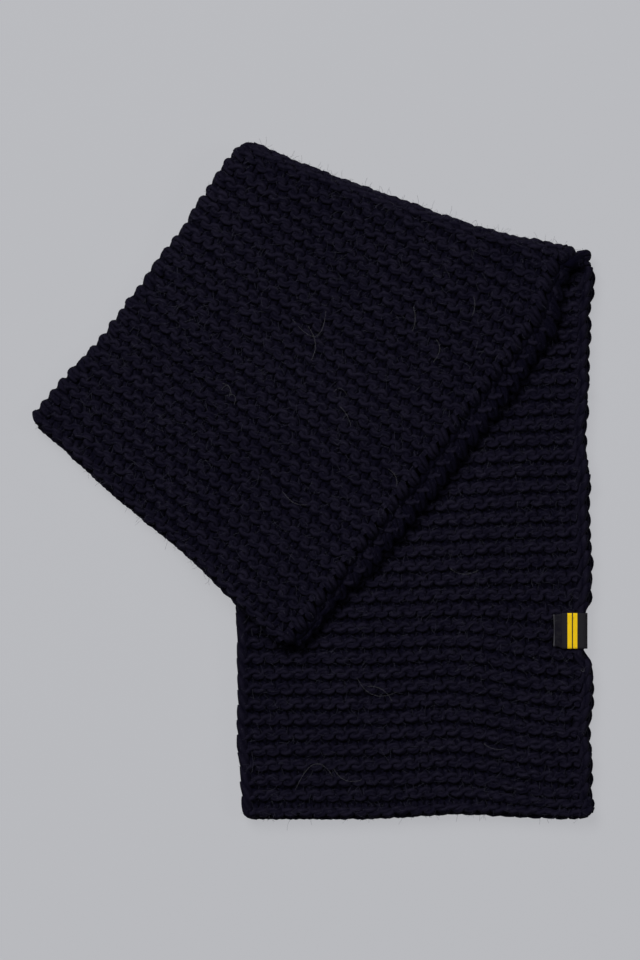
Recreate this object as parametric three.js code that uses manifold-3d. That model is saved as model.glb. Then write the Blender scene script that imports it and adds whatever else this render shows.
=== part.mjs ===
// A chunky garter-stitch scarf, lying double on a flat surface and folded over once on the slant.
// Millimetres, +Z up. The origin is on the surface, under the middle of the outline.
// Along a stretch, "across" runs over the scarf's width, "along" starts at its turned end,
// and "up" is the height above what the stretch lies on.

import * as THREE from "three";
import Module from "manifold-3d";

const wasm = await Module();
wasm.setup();

// The knitted cloth
const layer = 8; // thickness of one layer
const doubled = 2 * layer; // two layers lie on each other all along the scarf
const ridgePitch = 10.8; // from one garter ridge to the next
const ridgeDepth = 2.2; // from a ridge's crest down to the valley beside it
const valleyShare = 0.27; // part of the pitch from a valley to the crest's shoulder
const selvedgeScallop = 0.9; // how far the selvedge draws in at each valley
const layerRound = 2.5; // how far a layer's upper and lower corner round in
const grooveDepth = 2.2; // the groove between the two layers along a selvedge
const endRound = 7; // length of the rounding at a turned end
const cornerRound = 6; // how far a turned end's corners round in
const seamGap = 0.3;

// The lower stretch, upright in the outline
const lowerEndY = -240.4;
const lowerLength = 500;
const lowerUnder = 3.5; // how far the bottom layer shows past the top one on the right
const lowerEdges = [
  { along: 0, left: -51.5, right: 197.6 },
  { along: 29, left: -52.4, right: 196.7 },
  { along: 55, left: -55.2, right: 197.3 },
  { along: 72, left: -54.7, right: 196.0 },
  { along: 89, left: -53.8, right: 198.0 },
  { along: 123, left: -54.6, right: 196.7 },
  { along: 148, left: -55.6, right: 196.6 },
  { along: 174, left: -53.0, right: 196.4 },
  { along: 234, left: -52.0, right: 195.2 },
  { along: 306, left: -51.0, right: 193.5 },
  { along: 353, left: -50.6, right: 196.0 },
  { along: 378, left: -50.4, right: 198.0 },
  { along: 500, left: -50.2, right: 196.7 },
];

// The folded-over stretch, turned from the lower one, with its own corner as start
const flapTurn = THREE.MathUtils.degToRad(36.87);
const flapCornerX = -200;
const flapCornerY = 38;
const flapLength = 360;
const flapEdges = [
  { along: 0, left: -0.6, right: 240, under: 2 },
  { along: 30, left: -4.2, right: 241, under: 7 },
  { along: 90, left: -1.8, right: 242, under: 14 },
  { along: 170, left: -1.6, right: 243, under: 16 },
  { along: 228, left: -4.4, right: 244.5, under: 15 },
  { along: 262, left: -5, right: 244, under: 13 },
  { along: 304, left: -5, right: 232, under: 8 },
  { along: 360, left: -5, right: 228, under: 6 },
];
const rightSag = 18; // how far the flap's rows hang down at the right of its end
const rightStretch = 0.1; // how much longer its right side lies than its left
const endBow = 6; // how far the middle of its end bows out
const lyingHeight = doubled + seamGap; // where it lies on the lower stretch
const slopeTopX = -70; // where it leaves that height
const slopeFootX = -116; // where it has come down to the surface

// The turned fold between the two
const foldAngle = THREE.MathUtils.degToRad(-17.5);
const foldSeamX = -50.8;
const foldSeamY = 222.8;
const foldDepth = 18; // how far the fold bulges past its seam at either end
const foldHollow = 6.5; // how much less it bulges in the middle
const foldHeight = 2 * doubled + seamGap;
const foldSections = 48;
const foldArcSteps = 11;
const foldEnds = {
  bottomLeft: { start: 1, lean: -0.316 },
  topLeft: { start: -13, lean: 0.35 },
  bottomRight: { start: 259, lean: -0.316 },
  topRight: { start: 238, lean: 0.35 },
};

// The woven tab on the lower stretch's right selvedge
const tab = { left: 170.4, right: 194.7, bottom: -120, height: 26.2, wall: 1, backLeg: 10, corner: 4 };

const topColumns = 11;
const undersideColumns = 8;

const smooth = (value) => THREE.MathUtils.smoothstep(value, 0, 1);
const bump = (value) => Math.exp(-value * value);
const windowed = (value, rise, full, fall, end) =>
  smooth((value - rise) / (full - rise)) * (1 - smooth((value - fall) / (end - fall)));

function readTable(table, along, column) {
  const last = table.findIndex((row) => row.along > along);
  if (last <= 0) {
    return last === 0 ? table[0][column] : table[table.length - 1][column];
  }
  const before = table[last - 1];
  const after = table[last];
  const share = smooth((along - before.along) / (after.along - before.along));
  return THREE.MathUtils.lerp(before[column], after[column], share);
}

// How far the surface lies under a ridge's crest, as a share of the ridge's depth
function valley(along) {
  const share = THREE.MathUtils.euclideanModulo(along / ridgePitch, 1);
  return Math.max(0, 1 - Math.min(share, 1 - share) / valleyShare);
}

// Rows of the lower stretch: level on the left, with a low hump and a sag beside it on the right
function lowerPoint(across, along, up) {
  const sag = -9 * smooth((across - 85) / 100) * windowed(along, 2, 26, 105, 175);
  const hump = 3.2 * bump((across - 105) / 42) * (1 - smooth((along - 90) / 120));
  const rise = 3.6 * smooth((across - 60) / 120) * windowed(along, 130, 170, 300, 380);
  return new THREE.Vector3(across, lowerEndY + along + sag + hump + rise, up);
}

// Rows of the folded-over stretch, which hang down on the right and fan out towards the fold
function flapPoint(across, along, up) {
  const pull = smooth((across - 120) / 120) * (rightStretch * along - rightSag);
  const bow = -endBow * Math.sin((Math.PI * THREE.MathUtils.clamp(across, 0, 240)) / 240) ** 2;
  const length = along + pull + bow * Math.max(0, 1 - along / 60);
  const x = flapCornerX + across * Math.cos(flapTurn) + length * Math.sin(flapTurn);
  const y = flapCornerY - across * Math.sin(flapTurn) + length * Math.cos(flapTurn);
  const lift = lyingHeight * smooth((x - slopeFootX) / (slopeTopX - slopeFootX));
  return new THREE.Vector3(x, y, lift + up);
}

// One closed section of the doubled cloth, layered at both selvedges
function sectionOutline(edges, along, lowered) {
  const inset = selvedgeScallop * lowered;
  const left = edges.left + inset;
  const right = edges.right - inset;
  const under = edges.right + edges.under - inset;
  const outline = [];
  for (let column = 0; column < topColumns; column += 1) {
    const across = THREE.MathUtils.lerp(left + layerRound, right - layerRound, column / (topColumns - 1));
    outline.push([across, doubled - ridgeDepth * lowered]);
  }
  outline.push([right, 1.5 * layer]);
  outline.push([right - grooveDepth, layer + seamGap]);
  outline.push([under - layerRound, layer]);
  outline.push([under, layer / 2]);
  for (let column = 0; column < undersideColumns; column += 1) {
    const share = column / (undersideColumns - 1);
    outline.push([THREE.MathUtils.lerp(under - layerRound, left + layerRound, share), 0]);
  }
  outline.push([left, layer / 2]);
  outline.push([left + grooveDepth, layer]);
  outline.push([left, 1.5 * layer]);
  return outline;
}

// Stations along a stretch: its rounded end, then a valley and two shoulders for each ridge
function stations(length) {
  const list = [0, 0.06, 0.25, 0.6].map((share) => ({ along: share * endRound, lowered: 0 }));
  for (let start = ridgePitch; start < length; start += ridgePitch) {
    list.push({ along: start, lowered: 1 });
    list.push({ along: start + valleyShare * ridgePitch, lowered: 0 });
    list.push({ along: start + (1 - valleyShare) * ridgePitch, lowered: 0 });
  }
  return list;
}

// At a turned end the cloth's thickness closes round the middle, and its corners draw in
function closeEnd(outline, along) {
  const reach = Math.min(1, (along + 0.3) / endRound);
  const thickness = Math.sqrt(1 - (1 - reach) ** 2);
  const middle = (outline[0][0] + outline[topColumns - 1][0]) / 2;
  const halfWidth = outline[topColumns - 1][0] - middle;
  const drawn = 1 - (cornerRound * (1 - thickness)) / halfWidth;
  return outline.map(([across, up]) => [middle + (across - middle) * drawn, layer + (up - layer) * thickness]);
}

function capFaces(outline, facesBack, firstIndex) {
  const points = outline.map(([across, up]) => new THREE.Vector2(across, up));
  return THREE.ShapeUtils.triangulateShape(points, []).flatMap(([a, b, c]) => {
    const clockwise = THREE.ShapeUtils.area([points[a], points[b], points[c]]) < 0;
    const ordered = clockwise === facesBack ? [a, c, b] : [a, b, c];
    return ordered.map((index) => index + firstIndex);
  });
}

// Rings of points joined into one closed skin, with a flat cap on the first and last ring
function loft(rings, firstOutline, lastOutline) {
  const count = rings[0].length;
  const index = capFaces(firstOutline, true, 0);
  for (let ring = 0; ring < rings.length - 1; ring += 1) {
    for (let point = 0; point < count; point += 1) {
      const next = (point + 1) % count;
      const a = ring * count + point;
      const b = ring * count + next;
      index.push(a, b, b + count, a, b + count, a + count);
    }
  }
  index.push(...capFaces(lastOutline, false, (rings.length - 1) * count));
  const geometry = new THREE.BufferGeometry();
  geometry.setFromPoints(rings.flat());
  geometry.setIndex(index);
  return geometry;
}

function toSolid(geometry) {
  const vertProperties = new Float32Array(geometry.attributes.position.array);
  const triVerts = new Uint32Array(geometry.index.array);
  return new wasm.Manifold(new wasm.Mesh({ numProp: 3, vertProperties, triVerts }));
}

function toGeometry(solid) {
  const mesh = solid.getMesh();
  const geometry = new THREE.BufferGeometry();
  geometry.setAttribute("position", new THREE.BufferAttribute(mesh.vertProperties, 3));
  geometry.setIndex(new THREE.BufferAttribute(mesh.triVerts, 1));
  geometry.computeVertexNormals();
  return geometry;
}

// A box with shared corners, from its low corner and size
function block(low, size, turn = 0) {
  const geometry = new THREE.BufferGeometry();
  const corners = [0, 1, 2, 3, 4, 5, 6, 7].map(
    (corner) =>
      new THREE.Vector3(
        size.x * (corner & 1 ? 1 : 0),
        size.y * (corner & 2 ? 1 : 0),
        size.z * (corner & 4 ? 1 : 0)
      )
  );
  geometry.setFromPoints(corners.map((point) => point.applyAxisAngle(new THREE.Vector3(0, 0, 1), turn).add(low)));
  geometry.setIndex([
    0, 2, 3, 0, 3, 1, 4, 5, 7, 4, 7, 6, 0, 1, 5, 0, 5, 4, 2, 6, 7, 2, 7, 3, 0, 4, 6, 0, 6, 2, 1, 3, 7, 1, 7, 5,
  ]);
  return toSolid(geometry);
}

function foldFrame(run, out, up) {
  const x = foldSeamX + run * Math.cos(foldAngle) - out * Math.sin(foldAngle);
  const y = foldSeamY + run * Math.sin(foldAngle) + out * Math.cos(foldAngle);
  return new THREE.Vector3(x, y, up);
}

// Everything on the far side of the fold's seam, where the two stretches end
function beyondFold() {
  const size = new THREE.Vector3(600, 200, 120);
  return block(foldFrame(-200, -seamGap / 2, -20), size, foldAngle);
}

function stretch(edgesAt, pointAt, length) {
  const outlines = stations(length).map(({ along, lowered }) => {
    const outline = sectionOutline(edgesAt(along), along, lowered);
    return { along, outline: along < endRound ? closeEnd(outline, along) : outline };
  });
  const rings = outlines.map(({ along, outline }) => outline.map(([across, up]) => pointAt(across, along, up)));
  return toSolid(loft(rings, outlines[0].outline, outlines[outlines.length - 1].outline));
}

function lowerStretch() {
  const edgesAt = (along) => ({
    left: readTable(lowerEdges, along, "left"),
    right: readTable(lowerEdges, along, "right") - lowerUnder,
    under: lowerUnder,
  });
  const tabSlot = block(
    new THREE.Vector3(tab.right - tab.backLeg - tab.corner - 1, tab.bottom - seamGap, layer - 1),
    new THREE.Vector3(40, tab.height + 2 * seamGap, 2)
  );
  return stretch(edgesAt, lowerPoint, lowerLength).subtract(beyondFold()).subtract(tabSlot);
}

function foldedStretch() {
  const edgesAt = (along) => ({
    left: readTable(flapEdges, along, "left"),
    right: readTable(flapEdges, along, "right"),
    under: readTable(flapEdges, along, "under"),
  });
  return stretch(edgesAt, flapPoint, flapLength).subtract(beyondFold());
}

// The fold's half-round sections, from under its seam out and over to its top.
// The ridges of the folded-over stretch run on round it.
function turnedFold() {
  const middleHeight = foldHeight / 2;
  const endAt = (bottom, top, out, up) =>
    THREE.MathUtils.lerp(bottom.start + bottom.lean * out, top.start + top.lean * out, up / foldHeight);
  const ring = (share) => {
    const bulge = foldDepth + seamGap / 2 - foldHollow * Math.sin(Math.PI * share ** 1.3) ** 2;
    const nearEnd = Math.min(share, 1 - share) < 0.5 / foldSections;
    const points = [];
    for (let step = 0; step <= foldArcSteps; step += 1) {
      const turn = Math.PI * (step / foldArcSteps - 0.5);
      const arc = middleHeight * (Math.PI / 2 - turn);
      const roughRun = THREE.MathUtils.lerp(foldEnds.topLeft.start, foldEnds.topRight.start, share);
      const ridgePosition = 236.5 + 0.3314 * roughRun + 0.9436 * arc;
      const lowered = nearEnd ? 1 : valley(ridgePosition);
      const shrink = 1 - (ridgeDepth * lowered) / foldHeight;
      const out = seamGap / 2 + (bulge - seamGap / 2) * Math.cos(turn) * shrink;
      const up = middleHeight * (1 + Math.sin(turn) * shrink);
      const left = endAt(foldEnds.bottomLeft, foldEnds.topLeft, out, up);
      const right = endAt(foldEnds.bottomRight, foldEnds.topRight, out, up);
      points.push(foldFrame(THREE.MathUtils.lerp(left, right, share), out, up));
    }
    return points;
  };
  const shares = Array.from({ length: foldSections + 1 }, (_, section) => section / foldSections);
  const rings = [0, 0.006, ...shares.slice(1, -1), 0.994, 1].map(ring);
  const outlineOf = (points) => points.map((point) => [-point.y, point.z]);
  return toSolid(loft(rings, outlineOf(rings[0]), outlineOf(rings[rings.length - 1])));
}

// A strip of ribbon bent round the upper layer's selvedge, one leg on top and one between the layers
function labelTab() {
  const front = doubled + seamGap + tab.wall;
  const back = layer - 0.5;
  const bend = (front - back) / 2;
  const shape = new THREE.Shape();
  shape.moveTo(tab.left, front);
  shape.lineTo(tab.right - tab.corner, front);
  shape.absellipse(tab.right - tab.corner, back + bend, tab.corner, bend, Math.PI / 2, -Math.PI / 2, true);
  shape.lineTo(tab.right - tab.corner - tab.backLeg, back);
  shape.lineTo(tab.right - tab.corner - tab.backLeg, back + tab.wall);
  shape.lineTo(tab.right - tab.corner, back + tab.wall);
  const innerCorner = tab.corner - tab.wall;
  const innerBend = bend - tab.wall;
  shape.absellipse(tab.right - tab.corner, back + bend, innerCorner, innerBend, -Math.PI / 2, Math.PI / 2, false);
  shape.lineTo(tab.left, front - tab.wall);
  const geometry = new THREE.ExtrudeGeometry(shape, { depth: tab.height, bevelEnabled: false, curveSegments: 7 });
  geometry.rotateX(Math.PI / 2);
  geometry.translate(0, tab.bottom + tab.height, 0);
  return geometry;
}

const yarnLook = { color: 0x0e0d18, roughness: 0.95, metalness: 0 };

const scarf = new THREE.Group();

function addPiece(name, geometry, look) {
  const mesh = new THREE.Mesh(geometry, new THREE.MeshStandardMaterial(look));
  mesh.name = name;
  scarf.add(mesh);
}

addPiece("lower_stretch", toGeometry(lowerStretch()), yarnLook);
addPiece("turned_fold", toGeometry(turnedFold()), yarnLook);
addPiece("folded_stretch", toGeometry(foldedStretch()), yarnLook);
addPiece("label_tab", labelTab(), { color: 0x2a2a30, roughness: 0.8, metalness: 0 });

export default scarf;
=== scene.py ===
import math
import bmesh
import bpy
import numpy as np
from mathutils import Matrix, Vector


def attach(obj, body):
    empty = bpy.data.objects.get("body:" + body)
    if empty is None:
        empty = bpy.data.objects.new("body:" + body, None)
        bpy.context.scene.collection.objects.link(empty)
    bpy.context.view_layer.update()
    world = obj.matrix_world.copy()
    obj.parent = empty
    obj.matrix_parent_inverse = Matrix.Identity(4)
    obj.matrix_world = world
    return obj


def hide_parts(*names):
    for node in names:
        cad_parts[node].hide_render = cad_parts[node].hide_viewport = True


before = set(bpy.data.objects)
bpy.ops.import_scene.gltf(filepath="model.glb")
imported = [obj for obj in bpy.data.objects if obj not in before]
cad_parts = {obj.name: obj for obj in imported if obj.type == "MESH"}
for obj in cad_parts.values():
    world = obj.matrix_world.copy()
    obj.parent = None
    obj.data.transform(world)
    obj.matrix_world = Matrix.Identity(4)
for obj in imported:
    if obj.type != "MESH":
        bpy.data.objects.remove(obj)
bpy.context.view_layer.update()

# Chunky garter-stitch scarf, lying double and folded over once on the slant.
# Shapes are worked out in millimetres, like the solids, and written to the meshes in metres.
mm = 0.001

cloth = {
    "layer": 8.0,
    "ridgePitch": 10.8,
    "stitchWidth": 9.6,
    "cornerRound": 5.0,
    "endRound": 7.0,
    "stitches": 24,       # between the two selvedges
    "floorGap": 0.2,      # nothing lies lower than this
}
doubled = 2 * cloth["layer"]


# A table with named columns from its rows
def stations(names, *rows):
    return dict(zip(names, zip(*rows)))


# The edges lie so far across at each station up from the turned end; "under" is how much further the lower
# layer reaches at the right
lower = {
    "endY": -239.8,
    **stations(
        ("along", "left", "right", "under"),
        (0, -50, 196.6, 4.3), (16, -50.6, 196.6, 3.8),
        (29, -51.3, 193.8, 3.3), (55, -54, 195, 3.3),
        (72, -54, 192.8, 3.6), (89, -53.6, 195.2, 3.8),
        (108, -54.4, 195.4, 3.6), (117, -54.7, 195.8, 2.4),
        (125, -54.9, 190.2, 1.8), (144, -55, 190.2, 1.8),
        (156, -54.4, 194.4, 3.8), (174, -51.7, 194.2, 3.8),
        (205, -51, 192.8, 3.8), (234, -50.7, 193.6, 3.4),
        (270, -50.2, 190.6, 3.4), (303, -49.7, 192.8, 3.4),
        (353, -49.3, 193.2, 3.4), (378, -49.1, 196, 4.3),
        (500, -49, 196, 4.3),
    ),
}

# Slow bends of the lower stretch's rows: how far, where across they set in, and where along they come and go
lowerBends = {
    "sag": {"by": -9.0, "from": 85.0, "over": 100.0, "along": (2, 26, 105, 175)},
    "rise": {"by": 3.6, "from": 60.0, "over": 120.0, "along": (130, 170, 300, 380)},
    "hump": {"by": 3.2, "middle": 105.0, "spread": 42.0, "fadeFrom": 90.0, "fadeOver": 120.0},
}

flap = {
    "turn": math.radians(36.87),
    "cornerX": -200.0,
    "cornerY": 38.0,
    "rightSag": 18.0,
    "rightStretch": 0.1,
    "sagFrom": 120.0,
    "sagOver": 120.0,
    "width": 240.0,
    "endBow": 6.0,
    "cornerLift": 2.4,
    "cornerReach": 45.0,
    "endFade": 60.0,      # the bow and the lifted corner are gone so far from the end
    "lift": doubled + 0.3,
    "slopeTopX": -70.0,
    "slopeFootX": -116.0,
    **stations(
        ("along", "left", "right", "under"),
        (0, -4.6, 240, 2), (30, -3.8, 241, 7),
        (80, 0.3, 242, 13), (104, 1.5, 242.3, 15),
        (152, 0.2, 242.8, 15.8), (173, 0.6, 243.1, 16),
        (200, -0.4, 243.8, 15.5), (228, -3.0, 244.5, 15),
        (262, -2.4, 244, 13), (304, -2.2, 232, 8),
        (360, -2.2, 228, 6),
    ),
}

# How far the fold bulges past its seam, at stations along the seam
fold = {
    "angle": math.radians(-17.5),
    "seamX": -50.8,
    "seamY": 222.8,
    "height": 2 * doubled + 0.3,
    "squareness": 2.5,    # 2 would be an ellipse
    "girthShare": 1.05,   # its way round is so much longer than half an ellipse's
    **stations(
        ("along", "bulge"),
        (-6, 19.0), (4, 17.4),
        (19.3, 16.2), (44.6, 13.8),
        (69.9, 12.4), (95.2, 11.5),
        (120.5, 10.9), (145.8, 9.6),
        (171.1, 8.6), (196.4, 10.3),
        (221.7, 13), (247, 16.5),
    ),
}


flapCos, flapSin = math.cos(flap["turn"]), math.sin(flap["turn"])
foldCos, foldSin = math.cos(fold["angle"]), math.sin(fold["angle"])


def smooth(value):
    value = np.clip(value, 0.0, 1.0)
    return value * value * (3 - 2 * value)


def windowed(value, rise, full, fall, end):
    return smooth((value - rise) / (full - rise)) * (1 - smooth((value - fall) / (end - fall)))


def readTable(table, along, column):
    places = np.asarray(table["along"], float)
    values = np.asarray(table[column], float)
    along = np.asarray(along, float)
    after = np.clip(np.searchsorted(places, along, side="right"), 1, len(places) - 1)
    share = smooth((along - places[after - 1]) / (places[after] - places[after - 1]))
    return values[after - 1] + share * (values[after] - values[after - 1])


# At a turned end the cloth runs on round a half-round edge to the other layer
def wrapEnd(along, up):
    reach = cloth["endRound"]
    turn = np.clip((reach - along) / reach, 0, math.pi)
    half = cloth["layer"]
    wrapped = reach - (up - half) / half * reach * np.sin(turn)
    return np.where(turn <= 0, along, wrapped), np.where(turn <= 0, up, half + (up - half) * np.cos(turn))


# Where the left, right or under edge lies; it is drawn in round the corners of a turned end
def edgeAt(table, along, column):
    turn = np.clip((cloth["endRound"] - along) / cloth["endRound"], 0, math.pi)
    drawn = cloth["cornerRound"] * (1 - np.abs(np.cos(turn)))
    if column == "left":
        return readTable(table, along, "left") + drawn
    under = readTable(table, along, "under") if column == "under" else 0
    return readTable(table, along, "right") + under - drawn


def bendAt(bend, across, along):
    return bend["by"] * smooth((across - bend["from"]) / bend["over"]) * windowed(along, *bend["along"])


# The lower stretch's place for a point so far across, along and up in its cloth
def lowerPoint(across, along, up):
    across, along, up = np.broadcast_arrays(across, along, up)
    hump = lowerBends["hump"]
    humped = hump["by"] * np.exp(-((across - hump["middle"]) / hump["spread"]) ** 2)
    humped = humped * (1 - smooth((along - hump["fadeFrom"]) / hump["fadeOver"]))
    bent = bendAt(lowerBends["sag"], across, along) + humped + bendAt(lowerBends["rise"], across, along)
    return np.stack([across, lower["endY"] + along + bent, up], -1)


def flapSag(across):
    return smooth((across - flap["sagFrom"]) / flap["sagOver"])


def flapPlane(across, along):
    pull = flapSag(across) * (flap["rightStretch"] * along - flap["rightSag"])
    bow = -flap["endBow"] * np.sin(np.pi * np.clip(across, 0, flap["width"]) / flap["width"]) ** 2
    corner = flap["cornerLift"] * np.exp(-(across / flap["cornerReach"]) ** 2)
    length = along + pull + (bow + corner) * np.maximum(0, 1 - along / flap["endFade"])
    x = flap["cornerX"] + across * flapCos + length * flapSin
    y = flap["cornerY"] - across * flapSin + length * flapCos
    return x, y


# Where a place lies along the fold's seam, how far past it, and the fold's size there
def atFold(x, y):
    dx, dy = x - fold["seamX"], y - fold["seamY"]
    run = dx * foldCos + dy * foldSin
    past = -dx * foldSin + dy * foldCos
    bulge = readTable(fold, run, "bulge")
    girth = fold["girthShare"] * math.pi * np.sqrt((bulge ** 2 + (fold["height"] / 2) ** 2) / 2)
    return run, past, bulge, girth


# The place so far along the fold's seam and so far out from it
def fromFold(run, out):
    return fold["seamX"] + run * foldCos - out * foldSin, fold["seamY"] + run * foldSin + out * foldCos


# The folded-over stretch; past the fold's seam its cloth runs down round the fold
def flapPoint(across, along, up):
    across, along, up = np.broadcast_arrays(across, along, up)
    x, y = flapPlane(across, along)
    lift = flap["lift"] * smooth((x - flap["slopeFootX"]) / (flap["slopeTopX"] - flap["slopeFootX"]))
    run, past, bulge, girth = atFold(x, y)
    half = fold["height"] / 2
    turn = math.pi * (0.5 - np.clip(past, 0, girth) / girth)
    inward, upward = np.abs(np.cos(turn)), np.abs(np.sin(turn))
    side = np.sign(np.sin(turn))
    blunt = 2 / fold["squareness"]
    normal = np.stack([inward ** (2 - blunt) / bulge, side * upward ** (2 - blunt) / half], -1)
    normal = normal / np.linalg.norm(normal, axis=-1, keepdims=True)
    out = bulge * inward ** blunt + normal[..., 0] * (up - doubled)
    height = half + half * side * upward ** blunt + normal[..., 1] * (up - doubled)
    flat = np.stack([x, y, lift + up], -1)
    folded = np.stack([*fromFold(run, out), height], -1)
    return np.where(past[..., None] <= 0, flat, folded)


# The same place, but the cloth goes round the turned end
def turnedEnd(pointAt):
    return lambda across, along, up: pointAt(across, *wrapEnd(*np.broadcast_arrays(along, up)))


# True where the folded-over stretch hides the lower one
def underFlap(x, y, margin):
    dx, dy = x - flap["cornerX"], y - flap["cornerY"]
    across = dx * flapCos - dy * flapSin
    along = dx * flapSin + dy * flapCos
    start = -flap["rightSag"] * flapSag(across)
    edge = readTable(flap, along - start, "right") + readTable(flap, along - start, "under")
    return (across < edge - margin) & (along > start + margin)


print("node helpers")


# A socket that takes Python's signs; each sign adds its Math node
class Wire:
    def __init__(self, graph, socket):
        self.graph = graph
        self.socket = socket

    def __add__(self, other):
        return self.graph.math("ADD", self, other)

    def __sub__(self, other):
        return self.graph.math("SUBTRACT", self, other)

    def __rsub__(self, other):
        return self.graph.math("SUBTRACT", other, self)

    def __mul__(self, other):
        return self.graph.math("MULTIPLY", self, other)

    def __pow__(self, other):
        return self.graph.math("POWER", self, other)

    __radd__ = __add__
    __rmul__ = __mul__

    def take(self, name):
        return Wire(self.graph, self.socket.node.outputs[name])


class Graph:
    def __init__(self, tree):
        self.tree = tree

    def node(self, kind, settings=None, sockets=None, output=0):
        made = self.tree.nodes.new(kind)
        for name, value in (settings or {}).items():
            setattr(made, name, value)
        for key, value in (sockets or {}).items():
            if isinstance(value, Wire):
                self.tree.links.new(value.socket, made.inputs[key])
            else:
                made.inputs[key].default_value = value
        return Wire(self, made.outputs[output]) if len(made.outputs) else made

    def math(self, operation, first, second=0.0):
        return self.node("ShaderNodeMath", {"operation": operation}, {0: first, 1: second})

    def place(self):
        return self.node("ShaderNodeTexCoord", output="Object")

    # The x, y and z wires of a vector
    def split(self, vector):
        parts = self.node("ShaderNodeSeparateXYZ", sockets={0: vector})
        return [parts.take(axis) for axis in "XYZ"]

    def noise(self, place, scale, detail, roughness=0.5):
        sockets = {"Vector": place, "Scale": scale, "Detail": detail, "Roughness": roughness}
        return self.node("ShaderNodeTexNoise", sockets=sockets)

    def bump(self, strength, distance, height, **more):
        sockets = {"Strength": strength, "Distance": distance, "Height": height, **more}
        return self.node("ShaderNodeBump", sockets=sockets)

    # Grey ramp between two stops, each a place and a shade
    def ramp(self, value, *stops):
        made = self.node("ShaderNodeValToRGB", sockets={0: value})
        for element, (place, shade) in zip(made.socket.node.color_ramp.elements, stops):
            element.position = place
            element.color = (shade, shade, shade, 1)
        return made

    def scaled(self, vector, amount):
        return self.node("ShaderNodeVectorMath", {"operation": "SCALE"}, {0: vector, "Scale": amount})

    def summed(self, *vectors):
        total = vectors[0]
        for vector in vectors[1:]:
            total = self.node("ShaderNodeVectorMath", {"operation": "ADD"}, {0: total, 1: vector})
        return total

    def attribute(self, name, kind="FLOAT"):
        return self.node("GeometryNodeInputNamedAttribute", {"data_type": kind}, {"Name": name})

    def stored(self, geometry, name, value, kind="FLOAT"):
        sockets = {"Geometry": geometry, "Name": name, "Value": value}
        return self.node("GeometryNodeStoreNamedAttribute", {"data_type": kind, "domain": "POINT"}, sockets)

    def moved(self, geometry, offset):
        return self.node("GeometryNodeSetPosition", sockets={"Geometry": geometry, "Offset": offset})

    def circle(self, sides, radius):
        return self.node("GeometryNodeCurvePrimitiveCircle", sockets={"Resolution": sides, "Radius": radius})

    # A mesh round a curve, as thick as the profile times the girth
    def swept(self, curve, profile):
        sockets = {"Curve": curve, "Profile Curve": profile, "Fill Caps": True}
        return self.node("GeometryNodeCurveToMesh", sockets=sockets)

    def girthed(self, curve, girth):
        return self.node("GeometryNodeSetCurveRadius", sockets={"Curve": curve, "Radius": girth})

    def blend(self, factor, first, second):
        return self.node("ShaderNodeMix", {"data_type": "RGBA"}, {0: factor, 6: first, 7: second}, 2)


def newMaterial(name, roughness, specular=0.2):
    material = bpy.data.materials.new(name)
    material.use_nodes = True
    graph = Graph(material.node_tree)
    shader = material.node_tree.nodes["Principled BSDF"]
    shader.inputs["Roughness"].default_value = roughness
    shader.inputs["Specular IOR Level"].default_value = specular
    return material, graph, shader


def plug(graph, wire, shader, name):
    graph.tree.links.new(wire.socket, shader.inputs[name])


print("materials")

yarnLook = {
    "dark": (0.0005, 0.0003, 0.0036, 1),
    "light": (0.0092, 0.0079, 0.0166, 1),
    "fleck": (0.020, 0.019, 0.029, 1),
    # painted shade: the yarn is painted darker the lower it lies in the knit, down to this share at the
    # bottom
    "valley": 0.22,       # how light the yarn stays at the bottom of the knit
    "roughness": 0.9,
    "plies": 3,
    "twist": 0.75,        # turns of a ply for each centimetre of yarn
    "plyHeight": 0.6,
    "fibreHeight": 0.5,
    "fibreScale": 2600,   # of the noise, and so on down to the largest patches
    "fleckScale": 900,
    "cloudScale": 140,
    "patchScale": 14,
}


def yarnMaterial():
    material, graph, shader = newMaterial("wool_yarn", yarnLook["roughness"], 0.04)
    place = graph.place()
    around = graph.node("ShaderNodeAttribute", {"attribute_name": "yarnAround"}, output="Vector")
    run = graph.node("ShaderNodeAttribute", {"attribute_name": "yarnRun"}, output="Fac")
    x, y, z = graph.split(around)
    angle = graph.math("ARCTAN2", y, x)
    twist = 2 * math.pi * yarnLook["twist"] * 100
    # The plies' twist: the grooves between the plies are painted darker, as painted shade, and the same wave
    # makes their bumps
    ply = graph.math("SINE", angle * yarnLook["plies"] + run * twist) * 0.5 + 0.5
    plyRound = ply ** 0.5
    fibre = graph.noise(place, yarnLook["fibreScale"], 3, 0.65)
    cloud = graph.noise(place, yarnLook["cloudScale"], 2)
    patch = graph.noise(place, yarnLook["patchScale"], 1)
    mottle = graph.ramp(fibre * 0.5 + cloud * 0.5, (0.35, 0.0), (0.68, 1.0))
    # Painted shade: the yarn is darkened the lower it lies in the knit
    rise = graph.node("ShaderNodeAttribute", {"attribute_name": "paintedShadeRise"}, output="Fac")
    height = rise ** 1.5 * (1 - yarnLook["valley"]) + yarnLook["valley"]
    tone = (plyRound * 0.45 + mottle * 0.6) * (patch * 0.5 + 0.75) * height
    colour = graph.blend(tone, yarnLook["dark"], yarnLook["light"])
    fleck = graph.ramp(graph.noise(place, yarnLook["fleckScale"], 1), (0.66, 0.0), (0.74, 1.0))
    plug(graph, graph.blend(fleck * 0.6, colour, yarnLook["fleck"]), shader, "Base Color")
    plyBump = graph.bump(0.9, yarnLook["plyHeight"] * mm, plyRound)
    plug(graph, graph.bump(0.9, yarnLook["fibreHeight"] * mm, fibre, Normal=plyBump), shader, "Normal")
    return material


bedLook = {
    "light": (0.0026, 0.0022, 0.0070, 1),
    "dark": (0.0007, 0.0005, 0.0036, 1),
    "roughness": 0.95,
    "fibreScale": 1800,
    "rowHeight": 1.5,
}
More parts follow.
